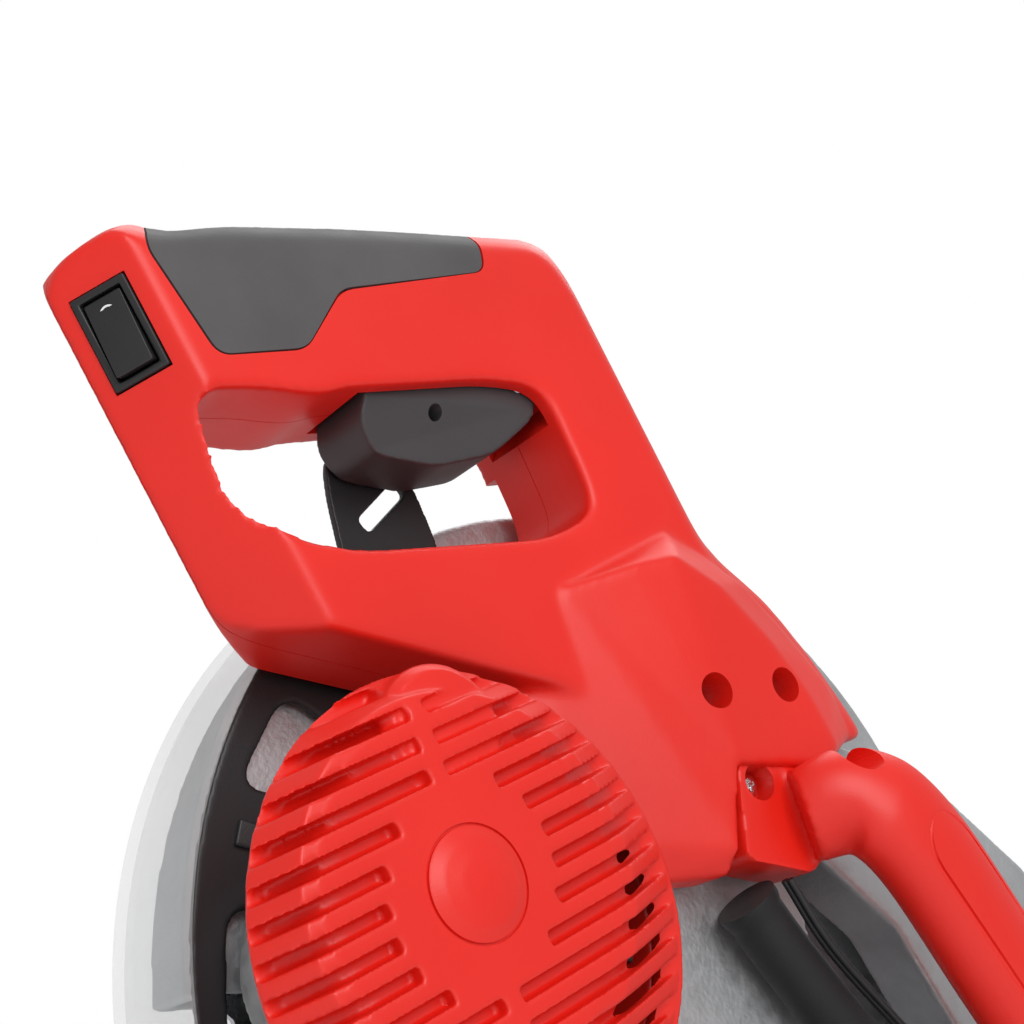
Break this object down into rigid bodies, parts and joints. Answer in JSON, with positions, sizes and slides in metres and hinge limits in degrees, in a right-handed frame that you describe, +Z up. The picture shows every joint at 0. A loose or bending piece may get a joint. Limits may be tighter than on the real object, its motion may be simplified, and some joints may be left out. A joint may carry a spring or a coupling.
{
  "type": "compound mitre saw",
  "caption": "Compound mitre saw with a belt-driven chopping head, red D-handle with trigger and rocker switch, swing-away blade guard, turntable, fence and mains cord.",
  "frame": {"origin": "centre of the base's underside, on the mitre axis", "axes": "+Z up, -Y towards the operator, +X to the motor side (operator's right)"},
  "size_m": [0.496, 0.664, 0.4857],
  "materials": {
    "cast_aluminium": "satin",
    "red_plastic": "satin",
    "soft_grip": "matte",
    "trigger_plastic": "matte",
    "black_plastic": "satin",
    "black_rubber": "satin",
    "steel": "brushed",
    "blade_steel": "brushed",
    "dark_steel": "satin",
    "chrome": "polished",
    "copper": "satin",
    "clear_plastic": "clear"
  },
  "bodies": {
    "base": {"base_casting": "cast_aluminium", "fence_right": "cast_aluminium", "fence_left": "cast_aluminium", "fence_bolt_right": "dark_steel", "fence_bolt_left": "dark_steel"},
    "turntable": {"turntable": "cast_aluminium", "kerf_plate": "black_plastic", "bevel_pivot_pin": "steel", "strain_relief": "black_plastic", "mains_cord": "black_rubber", "cord_coil": "black_rubber", "mains_plug": "black_plastic"},
    "mitre_lock": {"mitre_lock_knob": "black_plastic", "mitre_lock_rod": "steel"},
    "detent": {"detent_lever": "dark_steel"},
    "tilt": {"tilt_bracket": "cast_aluminium", "pivot_shaft": "steel", "depth_stop_bolt": "steel"},
    "bevel_lock": {"bevel_lock_lever": "black_plastic"},
    "hold_down": {"hold_down_pin": "black_plastic"},
    "head": {"head_casting": "cast_aluminium", "return_spring": "steel", "belt_housing": "cast_aluminium", "belt_cover": "cast_aluminium", "drive_belt": "black_rubber", "arbor_bearing": "chrome", "motor_housing": "red_plastic", "brush_cap_upper": "black_plastic", "brush_cap_lower": "black_plastic", "motor_cap": "red_plastic", "stator": "dark_steel", "motor_bearing": "chrome", "handle_shell_right": "red_plastic", "handle_shell_left": "red_plastic", "shell_screw_1": "steel", "shell_screw_2": "steel", "rubber_grip": "soft_grip", "switch_bezel": "black_plastic", "trigger_pin": "steel", "carry_handle": "red_plastic", "carry_screw_1": "chrome", "carry_screw_2": "chrome", "cable_sleeve": "black_rubber", "laser_lead": "black_rubber", "guard_lever_pin": "steel", "dust_outlet": "black_plastic"},
    "arbor": {"arbor_shaft": "steel", "arbor_pulley": "steel", "inner_flange": "steel", "outer_flange": "steel", "arbor_bolt": "dark_steel", "blade": "blade_steel"},
    "rotor": {"armature": "copper", "cooling_fan": "black_plastic", "motor_pulley": "steel"},
    "lower_guard": {"lower_guard_plate": "black_plastic", "lower_guard_clear": "clear_plastic"},
    "release_lever": {"guard_release_lever": "black_plastic"},
    "trigger": {"trigger": "trigger_plastic"},
    "rocker": {"rocker_button": "black_plastic"}
  },
  "joints": [
    {"name": "mitre", "type": "hinge", "parent": "base", "child": "turntable", "pos_m": [0, 0, 0.026], "axis": [0, 0, 1], "range_deg": [-45, 45]},
    {"name": "mitre_lock_turn", "type": "hinge", "parent": "turntable", "child": "mitre_lock", "pos_m": [0, -0.23, 0.042], "axis": [0, 1, 0], "range_deg": [-180, 180]},
    {"name": "detent_press", "type": "hinge", "parent": "turntable", "child": "detent", "pos_m": [0.028, -0.172, 0.039], "axis": [1, 0, 0], "range_deg": [0, 5], "stiffness_Nm_per_rad": 1.5, "springref_deg": -8.59},
    {"name": "bevel", "type": "hinge", "parent": "turntable", "child": "tilt", "pos_m": [0, 0.18, 0.07], "axis": [0, -1, 0], "range_deg": [0, 45]},
    {"name": "bevel_lock_swing", "type": "hinge", "parent": "tilt", "child": "bevel_lock", "pos_m": [0, 0.223, 0.07], "axis": [0, 1, 0], "range_deg": [-12, 18]},
    {"name": "hold_down_slide", "type": "slide", "parent": "tilt", "child": "hold_down", "axis": [1, 0, 0], "range_m": [-0.016, 0]},
    {"name": "chop", "type": "hinge", "parent": "tilt", "child": "head", "pos_m": [0.024, 0.246, 0.193], "axis": [1, 0, 0], "range_deg": [0, 23], "stiffness_Nm_per_rad": 30, "springref_deg": -91.67},
    {"name": "blade_spin", "type": "hinge", "parent": "head", "child": "arbor", "pos_m": [0, 0.018, 0.286], "axis": [1, 0, 0], "continuous": true},
    {"name": "rotor_spin", "type": "hinge", "parent": "head", "child": "rotor", "pos_m": [0.064, -0.08, 0.271], "axis": [1, 0, 0], "continuous": true},
    {"name": "guard_swing", "type": "hinge", "parent": "head", "child": "lower_guard", "pos_m": [0, 0.018, 0.286], "axis": [1, 0, 0], "range_deg": [-105, 0]},
    {"name": "trigger_squeeze", "type": "hinge", "parent": "head", "child": "trigger", "pos_m": [0.037, -0.048, 0.431], "axis": [-1, 0, 0], "range_deg": [0, 7], "stiffness_Nm_per_rad": 1.2, "springref_deg": -11.46},
    {"name": "release_lever_swing", "type": "hinge", "parent": "head", "child": "release_lever", "pos_m": [0.022, -0.062, 0.36], "axis": [1, 0, 0], "range_deg": [0, 3]},
    {"name": "rocker_tip", "type": "hinge", "parent": "head", "child": "rocker", "pos_m": [0.04452, -0.16113, 0.41077], "axis": [0.7643, 0.528, 0.3703], "range_deg": [-7, 7]}
  ],
  "couplings": [
    {"joint": "guard_swing", "follows": "chop", "ratio": -4.5},
    {"joint": "rotor_spin", "follows": "blade_spin", "ratio": 1.7143},
    {"joint": "release_lever_swing", "follows": "trigger_squeeze", "ratio": 0.4}
  ]
}
